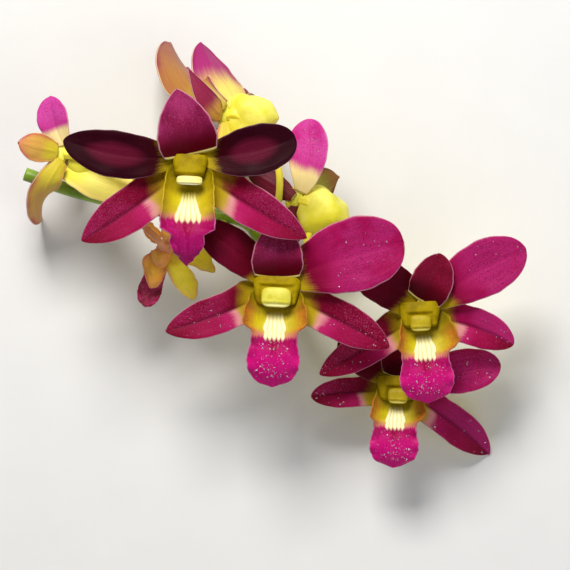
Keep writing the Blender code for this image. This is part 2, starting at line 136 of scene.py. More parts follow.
# Anther caps with the hood, lobes and lean that go with them.
BAND_CAP = (0, -6, 5), (4, 1.4, 1.3), "cap_cream", 1, 1, 0
BROAD_CAP = (0, -4.4, 5.1), (4.6, 3.1, 1.6), "cap_yellow", 1.35, 1, 0
SIDE_CAP = (0, -4.8, 5), (2.6, 1.4, 1.3), "cap_olive", 0.8, 0.55, 0

BLOOMS = {
    "a": Bloom(
        (-29.1, 38.1, 50), TO_VIEWER, (-0.04, -1, 0), 1, 1, False, 17, 1.02, *BAND_CAP, 0, 0, 0,
        dorsal=Blade((-4.2, 22, 4.5), 18.5, (0, 0, 1.5), 0.2, 0.86, 0.92, 0.35, 0.05, look="shaded"),
        petal_left=Blade((-38.8, 6.5, 4), 14.5, (0, -2.4, 1.5), 0.55, 0.36, 0.62, seat=1.08, look="dark"),
        petal_right=Blade((32.2, 7.2, 3), 15.6, (0, -1.6, 1.5), 0.6, 0.26, 0.45, 0.2, look="dark"),
        lateral_left=Blade((-33.5, -24.5, -1), 13.6, (0, -0.4, 0.5), 0.55, 0.5, 0.8, 0.1, 0.22),
        lateral_right=Blade((35.7, -23.6, -2), 12.6, (0, -0.3, 0.5), 0.5, 0.5, 0.8, 0.1, 0.25),
    ),
    "b": Bloom(
        (-2.5, 0.6, 40), TO_VIEWER, (-0.05, -1, 0), 1, 1, True, 16.5, 1.02, *BROAD_CAP, 0, 150, 0,
        dorsal=Blade((0.3, 18.3, 3.5), 16, (0, 0, 1), 0.25, 0.86, 0.6, 0.3, seat=0.92, look="shaded"),
        petal_left=Blade((-24.5, 18, 3), 12.5, (0.4, 0.5, 1), 0.55, 0.55, 0.55, seat=0.85, look="dusk"),
        petal_right=Blade((39.2, 12.4, 4), 23, (-0.3, 1, 1.5), 0.62, 0.3, 0.45, seat=0.83, look="bright"),
        lateral_left=Blade((-34.4, -14.9, -1), 12, (0, -0.6, 0.5), 0.55, 0.5, 0.75, 0.1, 0.15),
        lateral_right=Blade((34.7, -19.8, -1.5), 12.4, (0.3, 0.5, 0.5), 0.55, 0.5, 0.75, 0.1, 0.15),
    ),
    "c": Bloom(
        (43.1, -7.1, 31), TO_VIEWER, (0.05, -1, 0), 0.97, 0.9, True, 17, 0.93,
        (0, -4.8, 4.9), (3.4, 2.6, 1.5), "cap_olive", 1.22, 0.9, -1.2, 0, 130, 0.2,
        dorsal=Blade((4.8, 16.8, 4), 13.2, (0.8, 0, 1), 0.35, 0.82, 0.6, 0.25, look="ember"),
        petal_left=Blade((-22.3, 14.3, 3), 14.5, (0.3, 0.4, 1), 0.55, 0.75, 0.55, look="dusk"),
        petal_right=Blade((31.9, 18, 3.5), 17.5, (-0.7, 1.3, 1.5), 0.6, 0.36, 0.55, look="bright"),
        lateral_left=Blade((-32.2, -20.8, -3), 11, (0, 0, 0.5), 0.55, 0.5, 0.75, 0.1, 0.15),
        lateral_right=Blade((28.2, -11.5, -2), 12, (0.3, 1.6, 0.5), 0.55, 0.5, 0.6, 0.1, 0.15, look="bright"),
    ),
    "d": Bloom(
        (35, -30.4, 20), TO_VIEWER, (-0.04, -1, 0), 0.9, 0.8, True, 15.5, 0.84,
        (0.6, -4.8, 4.9), (3.5, 2.7, 1.5), "cap_olive", 1.25, 0.9, 0, 0, 130, 0.1,
        dorsal=Blade((0.9, 14.5, 2), 10.5, (0, 0, 0.5), 0.35, 0.8, 0.6, 0.2, look="ember"),
        petal_left=Blade((-18, 13, 2), 11, (0, 0, 0.5), 0.55, 0.6, 0.55, look="dusk"),
        petal_right=Blade((32.5, 5.6, 3), 13.8, (0, -0.5, 1), 0.62, 0.4, 0.5, look="bright"),
        lateral_left=Blade((-26.7, -4.7, -3), 9.5, (0, 0.6, 0.5), 0.55, 0.5, 0.6, 0.1, 0.15),
        lateral_right=Blade((29.8, -23.3, -19.6), 11.4, (0.8, 1, 3), 0.6, 0.5, 0.75, 0.1, 0.2, look="bright"),
    ),
    "e": Bloom(
        (-17.7, 53, 34), (-0.93, 0.1, -0.3), (0.25, 0.1, -1), 0.8, 1.7, True, 14.5, 0.8, *SIDE_CAP, 1, 0, 0,
        dorsal=Blade((-12.5, 14.5, 8), 7.6, (1, -3, 2.5), 0.35, 0.6, 1.1, looks=AWAY, seat=1.1, back="rose"),
        petal_left=Blade(
            (-19, 24, -33.5), 14.5, (-3, -3, 10), 0.62, 0.25, 0.6, looks=(-0.3, 0.2, -0.9), seat=1.3,
            back="orange",
        ),
        petal_right=Blade((4, -18, 3), 14, (0.5, 0, 1), 0.5, 0.25, looks=AWAY, back="ochre"),
        lateral_left=Blade(
            (-8.8, 23, -12), 16.5, (-1, 0, 0), 0.34, 0.66, 0.7,
            looks=(-0.65, 0, -0.75), seat=1.25, back="blush",
        ),
        lateral_right=Blade(
            (8.4, 6.4, -20), 9, (2, 0, 0), 0.5, 0.5, 0.7, looks=(-0.6, 0, -0.8), seat=1.15, back="brown",
        ),
    ),
    "f": Bloom(
        (4.7, 26.4, 29), (-0.85, 0.35, -0.35), (0.1, -0.15, -1), 0.9, 1.6, True, 15, 0.75,
        *SIDE_CAP, 1, 12, 0,
        dorsal=Blade((-16.7, 10.2, -6), 8, (0, 0, -1), 0.5, 0.4, 0.7, looks=(0, 0, -1), back="dusk"),
        petal_left=Blade((2.2, 25.1, 4), 14, (1.2, 0, 2), 0.62, 0.3, 0.5, looks=ASLANT, look="vivid"),
        petal_right=Blade((-4, -15, 1), 9, (0, 0, 0), 0.55, 0.35, looks=AWAY, back="dusk"),
        lateral_left=Blade(
            (12.2, 7.6, -10), 10, (0, 1.4, 0), 0.5, 0.5, 1.1, looks=(-0.3, 0, -0.9), seat=0.95, back="brown",
        ),
        lateral_right=Blade((16, -14, -14), 12, (1, 1, 3), 0.5, 0.8, 0.8, looks=(-0.4, 0.2, -0.9)),
    ),
    "g": Bloom(
        (-68.5, 41, 33), (-0.95, 0.1, -0.25), (0, -0.05, -1), 0.9, 1.35, True, 14.5, 0.8,
        *SIDE_CAP, 0.6, 0, 0,
        dorsal=Blade(
            (-14, 3, 9), 9, (0, 0, 1), 0.5, 0.6, 0.7, looks=(-0.3, 0, -0.95), seat=1.1, back="ochre",
        ),
        petal_left=Blade((-4.3, 17.5, 2), 10.5, (-1, 0, 1), 0.55, 0.45, 0.55, looks=ASLANT, look="vivid"),
        petal_right=Blade((-9, -20, -32.5), 10.5, (-2.3, -2, 12.3), 0.6, 0.45, looks=AWAY, back="ochre"),
        lateral_left=Blade((16.7, -1.5, -6), 12, (0, 0.5, 0), 0.5, 0.8, 0.7, looks=(-0.2, 0, -0.95)),
        lateral_right=Blade((22.3, -10.7, -1), 15, (0, -1, 1), 0.45, 0.8, 0.6, looks=(-0.1, -0.2, -0.95)),
    ),
    "h": Bloom(
        (-37.8, 11.8, 26), (-0.05, 0.1, -1), (-0.3, -0.95, 0.1), 0.5, 1.2, True, 7.5, 0.64,
        *SIDE_CAP[:4], 0.5, 0, 0.6, 0, 0,
        dorsal=Blade((4, 9, -4), 5, (0, 0, 0), 0.5, 0.4, 0.7, back="wilted", crumple=1.4),
        petal_left=Blade((15.5, -8, -3), 7, (1, 1.5, 0), 0.5, 0.5, back="faded", crumple=0.7),
        petal_right=Blade((-5.5, 8, -3), 4.5, (-0.5, 0, 0), 0.55, 0.3, back="wilted", crumple=1.4),
        lateral_left=Blade(
            (8.4, -16.4, 1), 6.8, (1.5, 0, 1), 0.5, 0.6, 0.5, 0.2, seat=1.2, back="faded", crumple=0.8,
        ),
        lateral_right=Blade(
            (-2.5, -12.5, 1), 7, (-1, 0, 1), 0.5, 0.6, 0.5, 0.2, seat=1.2, back="wilted", crumple=1.4,
        ),
    ),
}

# The stem's route and radius from its cut end on the left to its tip, then each bloom's stalk.
STEM_ROUTE = (
    ((-81.5, 34.8, 22), 2.1), ((-64.8, 29, 23), 2), ((-41.9, 24, 25), 2), ((-15.5, 20.8, 26), 1.9),
    ((-6.5, 13.5, 25), 1.8), ((4, 3.5, 22), 1.6), ((11, -6.5, 19), 1.5), ((20.5, -13.5, 15), 1.4),
    ((32.5, -19.6, 11), 1.3), ((38.8, -25.1, 8.5), 0.9),
)
STALKS = {
    "a": ((-40, 24.2, 25), (-37, 30, 33), (-31, 36, 42)),
    "b": ((-19.5, 21, 26), (-18.3, 16.4, 29), (-14, 11.8, 31.5), (-8.5, 7, 33), (-4, 2.8, 34)),
    "c": ((22, -14, 15), (30, -14, 18), (34.5, -7, 20), (38, -3.5, 22.5), (42.4, -5.5, 25)),
    "d": ((32.5, -19.6, 11), (33, -25, 12), (34.6, -29, 14)),
    "e": ((-9, 15.8, 25), (-4, 20.5, 28), (-2, 26.5, 31), (-2, 36, 33), (-6, 45, 32)),
    "f": ((4, 3.5, 22), (5.8, 9.5, 25), (7.2, 15, 28), (8.4, 20.5, 28)),
    "g": ((-44, 24.5, 25), (-43, 28, 32), (-46, 33, 37.5), (-54, 37.5, 38)),
    "h": ((-48, 25.2, 25), (-44.4, 19, 29), (-40, 14.5, 32)),
}
STALK_RADIUS, OVARY_RADIUS, OVARY_RADIUS_WILTED, OVARY_LONG = 1.1, 1.8, 2.5, 3.6
# The scale below a stalk, and how much thicker the stem is there.
BRACT_LONG, BRACT_HALF_WIDTH, NODE_SWELL = 5.5, 1.9, 0.35

# The radii that water drops are drawn from, in millimetres.
DROP_RADII = (0.09, 0.1, 0.11, 0.12, 0.14, 0.17, 0.23)

# The stage, in metres: each light's name, place, size, power and colour, the sky, and the camera.
FLOOR_WIDE = 4
LIGHTS = (
    ("key", (-0.12, 0.5, 0.62), 0.3, 7.2, (1, 0.98, 0.95)),
    ("fill", (0.4, -0.4, 0.5), 0.6, 1.5, (0.95, 0.97, 1)),
)
SKY_COLOUR, SKY_POWER = (0.9, 0.93, 1, 1), 0.28
CAMERA_HEIGHT, CAMERA_LENS, CAMERA_REACH = 1.5, 297.5, 10


def smooth(t):
    t = min(max(t, 0.0), 1.0)
    return t * t * (3 - 2 * t)


def along_stations(stations, v):
    """The value at v between stations of (place, value), eased from one to the next."""
    for (v0, a), (v1, b) in zip(stations, stations[1:]):
        if v <= v1:
            return a + (b - a) * smooth((v - v0) / (v1 - v0))
    return stations[-1][1]


def spline_point(points, t):
    """A point at t from 0 to 1 on the smooth curve through the points."""
    count = len(points) - 1
    i = min(int(t * count), count - 1)
    s = t * count - i
    p1, p2 = points[i], points[i + 1]
    p0 = points[i - 1] if i else p1 * 2 - p2
    p3 = points[i + 2] if i + 2 <= count else p2 * 2 - p1
    straight = p1 * 2 + (p2 - p0) * s
    bent = (p0 * 2 - p1 * 5 + p2 * 4 - p3) * s**2 + (p1 * 3 - p0 - p2 * 3 + p3) * s**3
    return (straight + bent) / 2


def spline_way(points, t):
    """The way that the same curve heads at t."""
    return (spline_point(points, min(t + 0.02, 1.0)) - spline_point(points, max(t - 0.02, 0.0))).normalized()


def bloom_frame(bloom):
    """The turn from a bloom's own frame, x right, y up and z forwards, to the picture's axes."""
    forward = Vector(bloom.facing).normalized()
    down = Vector(bloom.lip_way)
    up = -(down - forward * down.dot(forward)).normalized()
    right = up.cross(forward)
    return Matrix((right, up, forward)).transposed()


def bloom_matrix(bloom):
    """The place of a bloom's own frame in the shared frame, both in metres."""
    return Matrix.Translation((Vector(bloom.middle) - MIDDLE) * MM) @ bloom_frame(bloom).to_4x4()


# Materials


def srgb(red, green, blue):
    """A colour from values of 0 to 255 as a screen shows them."""
    linear = []
    for value in (red, green, blue):
        value /= 255
        linear.append(value / 12.92 if value <= 0.04045 else ((value + 0.055) / 1.055) ** 2.4)
    return (*linear, 1)


class Shading:
    """A material's node tree, with short ways to add the nodes that the materials here use."""

    def __init__(self, name):
        self.material = bpy.data.materials.new(name)
        self.material.use_nodes = True
        self.tree = self.material.node_tree
        self.shader = self.tree.nodes["Principled BSDF"]
        place = self.add("ShaderNodeUVMap")
        place.uv_map = "Blade"
        split = self.add("ShaderNodeSeparateXYZ", Vector=place.outputs["UV"])
        self.u, self.v = split.outputs[0], split.outputs[1]
        self.object = self.add("ShaderNodeTexCoord").outputs["Object"]

    def add(self, kind, **inputs):
        """A new node, with numbers or other nodes' outputs in its inputs."""
        node = self.tree.nodes.new(kind)
        self.fill(node, inputs)
        return node

    def fill(self, node, inputs):
        for name, given in inputs.items():
            self.link(given, node.inputs[name])

    def link(self, source, socket):
        """Joins an output to the socket, or sets it to a number or to a colour as a screen shows it."""
        if hasattr(source, "is_output"):
            self.tree.links.new(source, socket)
        else:
            socket.default_value = srgb(*source) if isinstance(source, tuple) else source

    def math(self, operation, first, second=0.0):
        node = self.add("ShaderNodeMath")
        node.operation = operation
        self.link(first, node.inputs[0])
        self.link(second, node.inputs[1])
        return node.outputs[0]

    def plus(self, first, second):
        return self.math("ADD", first, second)

    def less(self, first, second):
        return self.math("SUBTRACT", first, second)

    def times(self, first, second):
        return self.math("MULTIPLY", first, second)

    def drift(self, value, *textures):
        """The value moved up to half of reach either way by each (texture, reach), a texture being 0 to 1."""
        for texture, reach in textures:
            value = self.plus(value, self.times(self.less(texture, 0.5), reach))
        return value

    def ease(self, value, low, high, start=0.0, end=1.0, pace="SMOOTHSTEP"):
        """Goes from start to end as value goes from low to high, eased or at another pace."""
        node = self.add("ShaderNodeMapRange")
        node.interpolation_type = pace
        for socket, given in zip(node.inputs, (value, low, high, start, end)):
            self.link(given, socket)
        return node.outputs[0]

    def mix(self, share, first, second):
        node = self.add("ShaderNodeMix")
        node.data_type = "RGBA"
        self.link(share, node.inputs["Factor"])
        self.link(first, node.inputs[6])
        self.link(second, node.inputs[7])
        return node.outputs[2]

    def cover(self, share, colour):
        """Lays a colour over the material's own by its share."""
        self.colour = self.mix(share, self.colour, colour)

    def noise(self, scale, detail=2.0, vector=None, rough=0.55):
        vector = vector or self.object
        node = self.add("ShaderNodeTexNoise", Scale=scale, Detail=detail, Roughness=rough, Vector=vector)
        return node.outputs[0]

    def stretched(self, across, along):
        """Coordinates that run across and along the blade, scaled."""
        node = self.add("ShaderNodeCombineXYZ", X=self.times(self.u, across), Y=self.times(self.v, along))
        return node.outputs[0]

    def ramp(self, value, stops):
        node = self.add("ShaderNodeValToRGB")
        node.color_ramp.interpolation = "EASE"
        elements = node.color_ramp.elements
        while len(elements) < len(stops):
            elements.new(0.5)
        for element, (place, colour) in zip(elements, stops):
            element.position = place
            element.color = srgb(*colour)
        self.link(value, node.inputs[0])
        return node.outputs[0]

    def bump(self, height, distance, below=None):
        node = self.add("ShaderNodeBump", Distance=distance, Strength=0.5, Height=height)
        if below:
            self.link(below, node.inputs["Normal"])
        return node.outputs[0]

    def finish(self, normal=None, rough=0.5, coat=0.0, shine=0.5):
        """Fills the shader's sockets and gives the material."""
        inputs = {"Base Color": self.colour, "Roughness": rough, "Specular IOR Level": shine}
        inputs.update({"Coat Weight": coat, "Coat Roughness": 0.2})
        if normal:
            inputs["Normal"] = normal
        self.fill(self.shader, inputs)
        return self.material


def edge_of(shade):
    """Zero at a blade's margins and one at its midrib."""
    away = shade.math("ABSOLUTE", shade.less(shade.times(shade.u, 2), 1.0))
    return shade.less(1, away)


def velvet_bump(shade, streaks):
    """Fine papillae over shallow veins."""
    veins = shade.bump(streaks, 0.00018)
    return shade.bump(shade.noise(3600, 2), 0.00006, veins)


PALE_RIM = (214, 150, 168)
CREAM_RIM = (240, 226, 170)
OLIVE = (164, 139, 12)

# The colours of a blade's front: beside the column, over most of it, its second tone and its specks.
LOOKS = {
    # On the dark look the second tone is a painted sheen: a lighter oval about the middle of the midrib.
    "dark": ((52, 0, 9), (36, 0, 11), (96, 16, 42), (66, 3, 24)),
    "dusk": ((80, 0, 18), (84, 1, 23), (106, 8, 40), (60, 0, 15)),
    "shaded": ((70, 0, 10), (126, 20, 62), (156, 44, 96), (188, 96, 150)),
    "ember": ((60, 0, 10), (100, 3, 28), (124, 14, 50), (150, 50, 84)),
    "crimson": ((92, 1, 24), (122, 4, 42), (148, 22, 72), (190, 84, 130)),
    "bright": ((100, 0, 28), (158, 10, 76), (172, 36, 104), (98, 2, 42)),
    "vivid": ((196, 90, 160), (188, 30, 126), (206, 74, 160), (150, 4, 84)),
}


def cover_lateral(shade, part, along, fine, broad):
    """A side sepal: maroon above its crease, and pale pink beside the lip turning magenta below it."""
    inner = shade.u if part == "lateral_right" else shade.less(1, shade.u)
    lower = shade.ramp(
        along,
        (
            (0.25, OLIVE), (0.3, (188, 150, 70)), (0.35, (210, 136, 142)), (0.43, (166, 22, 86)),
            (0.6, (144, 8, 62)), (0.97, (112, 2, 34)),
        ),
    )
    shade.cover(shade.ease(inner, 0.46, 0.6), lower)
    foot = shade.less(shade.v, shade.ease(inner, 0.15, 0.8, 0, 0.1))
    foot = shade.drift(foot, (broad, 0.25), (fine, 0.09))
    shade.cover(shade.ease(foot, 0.3, 0.13), OLIVE)
    # Painted shade: the sepal is darkened along its crease, where the fold lies in shade.
    crease = shade.math("ABSOLUTE", shade.less(inner, 0.5))
    crease = shade.times(shade.ease(crease, 0.1, 0.0), shade.ease(along, 0.15, 0.4))
    shade.cover(shade.times(crease, 0.6), (70, 0, 26))
    grain = shade.times(shade.ease(fine, 0.52, 0.66), shade.ease(along, 0.3, 0.7))
    shade.cover(shade.times(grain, 0.18), (190, 80, 130))


@cache
def front_material(look, part):
    """A petal's velvety front, with a thin pale rim and an olive foot."""
    base, main, second, specks = LOOKS[look]
    light = look in ("bright", "vivid")
    shade = Shading(f"{look}_{part}_front")
    edge = edge_of(shade)
    streaks = shade.noise(1, 3, shade.stretched(34, 2.5), 0.6)
    broad = shade.noise(95, 2)
    fine = shade.noise(2300, 3, rough=0.7)
    along = shade.drift(shade.v, (broad, 0.2), (streaks, 0.1))
    shade.colour = shade.mix(shade.ease(along, 0.1, 0.5), base, main)
    # On the dark look the patch is painted sheen, a lighter oval centred on the midrib partway up the blade.
    if look == "dark":
        sheen_off_middle = shade.times(shade.less(shade.v, 0.56), 3.6)
        sheen_off_middle = shade.math("POWER", shade.math("ABSOLUTE", sheen_off_middle), 2)
        sheen_off_rib = shade.math("POWER", shade.times(shade.less(1, edge), 1.7), 2)
        away = shade.plus(shade.plus(sheen_off_middle, sheen_off_rib), shade.times(streaks, 0.4))
        patch = shade.ease(away, 1.4, 0.4)
    else:
        low, high = (0.3, 0.52) if light else (0.4, 0.65)
        patch = shade.times(shade.ease(broad, low, high), shade.ease(along, 0.25, 0.6))
    # The patch is painted sheen on the dark look, and patches of a second tone at random on the others.
    shade.cover(shade.times(patch, 0.85), second)
    grain = shade.times(shade.ease(fine, 0.5, 0.64), shade.ease(along, 0.2, 0.6))
    shade.cover(shade.times(grain, 0.65 if light else 0.3), specks)
    shade.cover(shade.ease(streaks, 0.4, 0.72, 0, 0.3), base)
    if part.startswith("lateral"):
        cover_lateral(shade, part, along, fine, broad)
    elif look == "vivid":
        shade.cover(shade.ease(along, 0.42, 0.26), (244, 222, 158))
    elif part == "petal" and look in ("dusk", "bright", "dark"):
        foot = shade.drift(shade.v, (fine, 0.08), (streaks, 0.12), (edge, 0.06))
        shade.cover(shade.ease(foot, 0.23, 0.09), OLIVE)
    else:
        shade.cover(shade.ease(shade.v, 0.045, 0.03), (206, 190, 110))
    rim = shade.drift(edge, (fine, 0.05))
    rim = shade.times(shade.ease(rim, 0.045, 0.012), 0.2 if look in ("dark", "dusk") else 0.6)
    shade.cover(rim, PALE_RIM)
    rough = shade.ease(fine, 0.35, 0.7, 0.4, 0.6)
    return shade.finish(velvet_bump(shade, streaks), rough, shine=0.05)


# The colours of a blade's back at its foot, over most of it, and towards its margins and tip, and how far up
# the first reaches.
BACKS = {
    "lemon": ((236, 224, 56), (255, 244, 124), (244, 206, 120), 0.4),
    "ochre": ((206, 190, 50), (206, 160, 70), (190, 90, 80), 0.5),
    "orange": ((196, 176, 70), (166, 112, 46), (140, 24, 66), 0.5),
    "rose": ((214, 160, 80), (138, 30, 66), (112, 14, 56), 0.5),
    "blush": ((236, 214, 104), (166, 40, 108), (150, 26, 96), 0.66),
    "brown": ((196, 190, 80), (152, 112, 50), (112, 36, 40), 0.8),
    "dusk": ((110, 30, 40), (92, 4, 34), (84, 2, 32), 0.4),
    "faded": ((230, 204, 60), (250, 234, 56), (232, 176, 110), 0.3),
    "wilted": ((248, 186, 120), (252, 192, 68), (230, 130, 84), 0.4),
}


@cache
def back_material(look):
    """A blade's waxy back, in tones that run into one another."""
    foot, main, margin, reach = BACKS[look]
    shade = Shading(f"{look}_back")
    edge = edge_of(shade)
    streaks = shade.noise(1, 3, shade.stretched(30, 2.5), 0.6)
    broad = shade.noise(130, 3)
    fine = shade.noise(1100, 3, rough=0.65)
    along = shade.drift(shade.v, (streaks, 0.14))
    shade.colour = shade.mix(shade.ease(along, reach * 0.4, reach), foot, main)
    blush = shade.plus(shade.ease(edge, 0.45, 0, 0.0, 0.8), shade.ease(shade.v, 0.6, 1.0, 0, 0.5))
    blush = shade.times(blush, shade.ease(broad, 0.3, 0.65, 0.35, 1.2))
    shade.cover(blush, margin)
    shade.cover(shade.ease(streaks, 0.45, 0.72, 0, 0.3), margin)
    shade.cover(shade.ease(fine, 0.56, 0.7, 0, 0.18), margin)
    shade.cover(shade.ease(edge, 0.05, 0.012, 0, 0.7), CREAM_RIM)
    return shade.finish(velvet_bump(shade, streaks), 0.45, shine=0.25)


def lip_material(pointed):
    """Olive side lobes with orange brown edges, a fan of cream ridges and a magenta tongue."""
    shade = Shading("lip_pointed" if pointed else "lip_round")
    start = 0.47 if pointed else 0.43
    edge = edge_of(shade)
    streaks = shade.noise(1, 3, shade.stretched(46, 3), 0.6)
    fine = shade.noise(1300, 3, rough=0.7)
    broad = shade.noise(260, 2)
    along = shade.drift(shade.v, (streaks, 0.1))
    # The throat is olive turning yellow towards the fan; its darker top, under the column, is painted shade.
    shade.colour = shade.ramp(
        along,
        ((0.0, (104, 86, 4)), (0.18, (150, 130, 8)), (0.3, (200, 182, 20)), (0.46, (210, 176, 60))),
    )
    shade.cover(shade.ease(broad, 0.45, 0.65, 0, 0.4), (170, 148, 10))
    lobe = shade.ease(edge, 0.66, 0.18)
    lobe = shade.times(lobe, shade.ease(fine, 0.3, 0.7, 0.55, 1.1))
    lobe = shade.times(lobe, shade.ease(shade.v, 0.08, 0.24))
    shade.cover(shade.times(lobe, 0.95), (186, 156, 20) if pointed else (190, 102, 40))
    rim = shade.times(shade.ease(edge, 0.06, 0.015, 0, 0.6), shade.ease(shade.v, 0.2, 0.32))
    shade.cover(rim, (186, 150, 40) if pointed else (150, 74, 36))
    main = (150, 0, 84) if pointed else (190, 0, 106)
    tongue = shade.mix(shade.ease(along, start + 0.02, start + 0.25), (160, 0, 76), main)
    centre = shade.times(shade.ease(edge, 0.7, 0.95), shade.ease(shade.v, start + 0.22, start + 0.1))
    tongue = shade.mix(shade.times(centre, 0.75), tongue, (140, 0, 40))
    tongue = shade.mix(shade.ease(streaks, 0.45, 0.7, 0, 0.25), tongue, (214, 36, 150))
    tongue = shade.mix(shade.ease(fine, 0.55, 0.7, 0, 0.3), tongue, (222, 76, 168))
    rim = shade.drift(edge, (fine, 0.05))
    tongue = shade.mix(shade.ease(rim, 0.045, 0.012, 0, 0.6), tongue, (214, 120, 170))
    shade.cover(shade.ease(along, start - 0.06, start), (214, 130, 110))
    shade.cover(shade.ease(along, start - 0.015, start + 0.03), tongue)
    # The fan's half width grows along it, and its ridges share it.
    grown = shade.ease(shade.v, *FAN_ALONG, pace="LINEAR")
    grown = shade.times(shade.times(grown, grown), FAN_WIDE[1] - FAN_WIDE[0])
    fan = shade.plus(grown, FAN_WIDE[0])
    across = shade.math("DIVIDE", shade.less(shade.times(shade.u, 2), 1.0), fan)
    ridge = shade.math("COSINE", shade.times(across, RIDGES * math.pi))
    cream = shade.mix(shade.ease(ridge, -0.9, 0.1), (230, 212, 124), (246, 238, 188))
    stripe = shade.ease(shade.math("ABSOLUTE", across), 1.02, 0.9)
    stripe = shade.times(stripe, shade.ease(along, start - 0.27, start - 0.1))
    end = shade.plus(shade.v, shade.times(ridge, -0.014))
    stripe = shade.times(stripe, shade.ease(end, start + 0.045, start))
    shade.cover(stripe, cream)
    return shade.finish(velvet_bump(shade, streaks), 0.42, shine=0.15)


def flesh_material(name, low, high, patch, rough=0.4, coat=0.1, scale=180, shine=0.4):
    """Waxy tissue whose colour drifts between two tones, with flecks of a third."""
    shade = Shading(name)
    broad = shade.noise(scale, 3)
    shade.colour = shade.mix(shade.ease(broad, 0.35, 0.65), low, high)
    fleck = shade.noise(900, 3, rough=0.6)
    shade.cover(shade.ease(fleck, 0.55, 0.7, 0, 0.4), patch)
    normal = shade.bump(fleck, 0.00008)
    return shade.finish(normal, rough, coat=coat, shine=shine)


def stalk_material():
    """Green by the stem and yellow at the ovary."""
    shade = Shading("stalk")
    broad = shade.noise(180, 3)
    along = shade.drift(shade.v, (broad, 0.3))
    shade.colour = shade.mix(shade.ease(along, 0.12, 0.45), (166, 196, 44), (240, 226, 70))
    return shade.finish(shade.bump(shade.noise(900, 3), 0.00008), 0.4, coat=0.1, shine=0.3)


def cap_material(name, low, high, rim):
    """The anther cap, paler along its lower lip."""
    shade = Shading(name)
    shade.colour = shade.mix(shade.ease(shade.noise(300, 3), 0.35, 0.65), low, high)
    shade.cover(shade.ease(shade.v, 0.26, 0.14), rim)
    return shade.finish(shade.bump(shade.noise(1500, 2), 0.00005), 0.45, shine=0.2)


def water_material():
    shade = Shading("water")
    clear = {"Base Color": (255, 255, 255), "Transmission Weight": 0.72, "Roughness": 0.03, "IOR": 1.33}
    shade.fill(shade.shader, clear)
    return shade.material


# Meshes


def new_object(name, data):
    obj = bpy.data.objects.new(name, data)
    bpy.context.scene.collection.objects.link(obj)
    return obj


def taken_mesh(obj):
    """The object's mesh with its modifiers applied, the object then removed."""
    bpy.context.view_layer.update()
    mesh = bpy.data.meshes.new_from_object(obj.evaluated_get(bpy.context.evaluated_depsgraph_get()))
    bpy.data.objects.remove(obj, do_unlink=True)
    return mesh


def mesh_from(bm, name, materials):
    mesh = bpy.data.meshes.new(name)
    bm.to_mesh(mesh)
    bm.free()
    for used in materials:
        mesh.materials.append(used)
    return mesh


def sheet(name, formula, across, along, thick, edge_thick, materials, flip=False):
    """A grid bent by formula(u, v), u from -1 to 1 and v from 0 to 1, thickened less at its margins."""
    bm = bmesh.new()
    bmesh.ops.create_grid(bm, x_segments=across, y_segments=along, size=1)
    weights = bm.verts.layers.deform.verify()
    places = {}
    for vert in bm.verts:
        u, v = vert.co.x, (vert.co.y + 1) / 2
        point, coloured_v, *coloured_u = formula(u, v)
        vert.co = point * MM
        places[vert] = (((coloured_u[0] if coloured_u else u) + 1) / 2, coloured_v)
        vert[weights][0] = 1 - smooth((abs(u) - 0.3) / 0.7)
    if flip:
        bmesh.ops.reverse_faces(bm, faces=bm.faces)
    uv_map = bm.loops.layers.uv.new("Blade")
    for face in bm.faces:
        for loop in face.loops:
            loop[uv_map].uv = places[loop.vert]
    obj = new_object(name, mesh_from(bm, name, materials))
    obj.vertex_groups.new(name="middle")
    solid = obj.modifiers.new("Thickness", "SOLIDIFY")
    solid.thickness = thick * MM
    solid.offset = 0
    solid.use_even_offset = False
    solid.vertex_group = "middle"
    solid.thickness_vertex_group = edge_thick / thick
    solid.material_offset = 1
    return taken_mesh(obj)


def loft(name, loops, paint):
    """A closed body through loops of points, each loop as long as the next."""
    bm = bmesh.new()
    uv_map = bm.loops.layers.uv.new("Blade")
    made = [[bm.verts.new(point * MM) for point in loop] for loop in loops]
    sides = len(loops[0])
    for k, (first, second) in enumerate(zip(made, made[1:])):
        for i in range(sides):
            j = (i + 1) % sides
            face = bm.faces.new((first[i], first[j], second[j], second[i]))
            corners = ((i, k), (i + 1, k), (i + 1, k + 1), (i, k + 1))
            for loop, (a, b) in zip(face.loops, corners):
                loop[uv_map].uv = (a / sides, b / (len(loops) - 1))
    bm.faces.new(made[0])
    bm.faces.new(made[-1])
    bmesh.ops.recalc_face_normals(bm, faces=bm.faces)
    return mesh_from(bm, name, [paint])


def joined(name, meshes, matrix=None):
    """One smooth object from several meshes, with their own materials kept."""
    objects = [new_object(f"{name}.{i}", mesh) for i, mesh in enumerate(meshes)]
    piece = objects[0]
    with bpy.context.temp_override(active_object=piece, selected_editable_objects=objects):
        bpy.ops.object.join()
    piece.name = name
    piece.data.name = name
    piece.data.shade_smooth()
    if matrix:
        piece.data.transform(matrix)
    return piece


def outline(blade, v):
    """The half width at v as a share of the widest."""
    if v < blade.wide_at:
        return blade.neck + (1 - blade.neck) * math.sin(math.pi / 2 * v / blade.wide_at)
    left = (v - blade.wide_at) / (1 - blade.wide_at)
    return max(1 - left**2, 0.0) ** blade.point * 0.98 + 0.02


